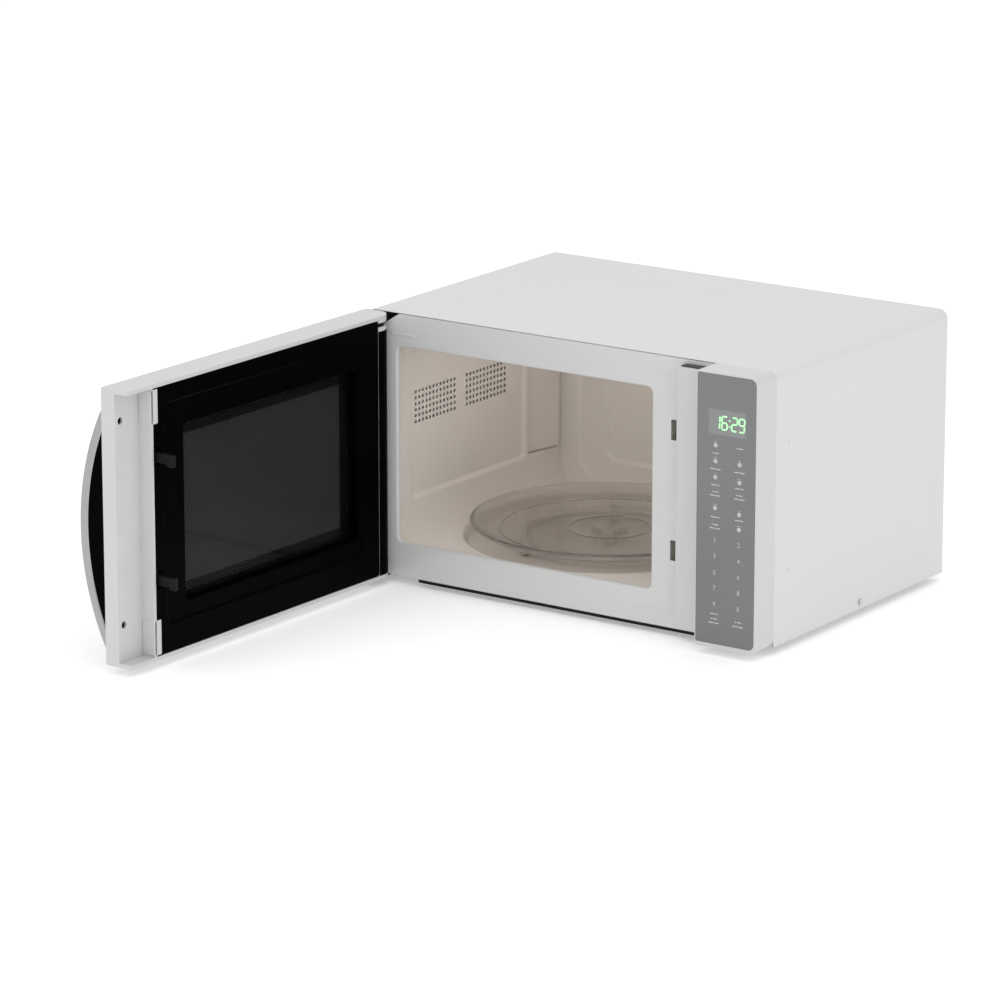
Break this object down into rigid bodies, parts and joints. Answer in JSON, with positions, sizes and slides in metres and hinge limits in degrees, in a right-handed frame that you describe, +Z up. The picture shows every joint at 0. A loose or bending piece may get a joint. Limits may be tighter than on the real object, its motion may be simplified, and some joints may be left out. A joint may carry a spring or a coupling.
{
  "type": "microwave oven",
  "caption": "Countertop microwave oven with a side-hinged pull-handle door, mirror-finish touch panel, turntable on a roller ring and full inner works.",
  "frame": {"origin": "centre of the steel cabinet's footprint, on the surface that the feet stand on", "axes": "+Z up; -Y towards the user, out of the cavity; +X to the right, towards the control panel"},
  "size_m": [0.5256, 0.7393, 0.281],
  "materials": {
    "case_paint": "smooth white powder coat on steel",
    "front_paint": "smooth white enamel on the front plate",
    "cavity_enamel": "warm grey-beige cavity enamel",
    "white_plastic": "white moulded plastic, semi gloss",
    "mirror_glass": "grey mirror finish under clear plastic",
    "door_glass": "dark mirror-tinted glass",
    "tray_glass": "clear pressed glass",
    "black_plastic": "black plastic, semi gloss",
    "screen_paint": "black-coated perforated steel",
    "window_film": "clear film over the screen",
    "chrome": "satin chrome plating",
    "zinc_steel": "zinc-plated steel sheet",
    "dark_steel": "dark grey hinge steel",
    "rubber": "black rubber",
    "nylon": "natural off-white nylon",
    "red_plastic": "red plunger plastic",
    "black_matte": "black phenolic plastic",
    "pcb": "green circuit board with parts",
    "copper": "copper",
    "ferrite": "ferrite",
    "aluminium": "bare aluminium",
    "mica": "pressed mica sheet",
    "lamp_glass": "clear lamp glass"
  },
  "bodies": {
    "cabinet": {"outer_case": "case_paint", "front_plate": "front_paint", "cavity_left_wall": "cavity_enamel", "cavity_right_wall": "cavity_enamel", "cavity_ceiling": "cavity_enamel", "cavity_floor": "cavity_enamel", "cavity_back_wall": "cavity_enamel", "base_plate": "zinc_steel", "rear_plate": "zinc_steel", "feet": "rubber", "case_screws": "zinc_steel", "control_panel_housing": "white_plastic", "mirror_fascia": "mirror_glass", "display_module": "black_matte", "control_board": "pcb", "latch_body": "nylon", "interlock_switches": "black_matte", "waveguide": "zinc_steel", "waveguide_cover": "mica", "magnetron_yoke": "zinc_steel", "magnetron_anode": "copper", "magnetron_magnets": "ferrite", "magnetron_filter_box": "zinc_steel", "transformer_core": "dark_steel", "transformer_windings": "copper", "hv_capacitor": "aluminium", "fan_shroud": "nylon", "fan_motor": "dark_steel", "air_duct": "nylon", "line_filter_board": "pcb", "thermal_cutouts": "black_matte", "cavity_lamp": "lamp_glass", "lamp_holder": "nylon", "cord_inlet": "rubber", "turntable_motor": "zinc_steel", "hinge_upper": "dark_steel", "hinge_lower": "dark_steel"},
    "door": {"door_frame": "white_plastic", "door_glass": "door_glass", "door_plate": "screen_paint", "choke_cover": "black_plastic", "inner_film": "window_film", "door_bushes": "nylon", "latch_spring": "zinc_steel", "handle_bow": "chrome", "handle_core": "black_plastic", "handle_screws": "zinc_steel"},
    "latch": {"latch_hooks": "black_matte"},
    "turntable": {"glass_tray": "tray_glass", "drive_coupler": "nylon", "turntable_shaft": "nylon"},
    "roller_carrier": {"roller_ring": "nylon"},
    "roller_a": {"roller_1": "nylon"},
    "roller_b": {"roller_2": "nylon"},
    "roller_c": {"roller_3": "nylon"},
    "fan": {"fan_blade": "black_matte", "fan_rotor": "zinc_steel"},
    "plunger_upper": {"upper_plunger": "red_plastic"},
    "plunger_monitor": {"monitor_plunger": "red_plastic"},
    "plunger_lower": {"lower_plunger": "red_plastic"}
  },
  "joints": [
    {"name": "door_hinge", "type": "hinge", "parent": "cabinet", "child": "door", "pos_m": [-0.2249, -0.179, 0.1445], "axis": [0, 0, 1], "range_deg": [0, 91.4]},
    {"name": "latch_slide", "type": "slide", "parent": "door", "child": "latch", "axis": [0, 0, 1], "range_m": [0, 0.004], "stiffness_N_per_m": 300, "springref_m": -0.004, "deforming": ["latch_spring"]},
    {"name": "turntable_spin", "type": "hinge", "parent": "cabinet", "child": "turntable", "pos_m": [-0.052, -0.0056, 0.043], "axis": [0, 0, 1], "continuous": true},
    {"name": "roller_ring_spin", "type": "hinge", "parent": "cabinet", "child": "roller_carrier", "pos_m": [-0.052, -0.0056, 0.036], "axis": [0, 0, 1], "continuous": true},
    {"name": "roller_a_spin", "type": "hinge", "parent": "roller_carrier", "child": "roller_a", "pos_m": [0.044, -0.0056, 0.036], "axis": [1, 0, 0], "continuous": true},
    {"name": "roller_b_spin", "type": "hinge", "parent": "roller_carrier", "child": "roller_b", "pos_m": [-0.1, 0.07754, 0.036], "axis": [-0.5, 0.866, 0], "continuous": true},
    {"name": "roller_c_spin", "type": "hinge", "parent": "roller_carrier", "child": "roller_c", "pos_m": [-0.1, -0.08874, 0.036], "axis": [-0.5, -0.866, 0], "continuous": true},
    {"name": "fan_spin", "type": "hinge", "parent": "cabinet", "child": "fan", "pos_m": [0.1793, 0.138, 0.198], "axis": [0, 1, 0], "continuous": true},
    {"name": "upper_plunger_slide", "type": "slide", "parent": "cabinet", "child": "plunger_upper", "axis": [0, 1, 0], "range_m": [0, 0.0012], "stiffness_N_per_m": 400, "springref_m": -0.0012},
    {"name": "monitor_plunger_slide", "type": "slide", "parent": "cabinet", "child": "plunger_monitor", "axis": [0, 1, 0], "range_m": [0, 0.0012], "stiffness_N_per_m": 400, "springref_m": -0.0012},
    {"name": "lower_plunger_slide", "type": "slide", "parent": "cabinet", "child": "plunger_lower", "axis": [0, 1, 0], "range_m": [0, 0.0012], "stiffness_N_per_m": 400, "springref_m": -0.0012}
  ],
  "couplings": [
    {"joint": "roller_ring_spin", "follows": "turntable_spin", "ratio": 0.5},
    {"joint": "roller_a_spin", "follows": "turntable_spin", "ratio": -6.9565},
    {"joint": "roller_b_spin", "follows": "turntable_spin", "ratio": -6.9565},
    {"joint": "roller_c_spin", "follows": "turntable_spin", "ratio": -6.9565}
  ]
}
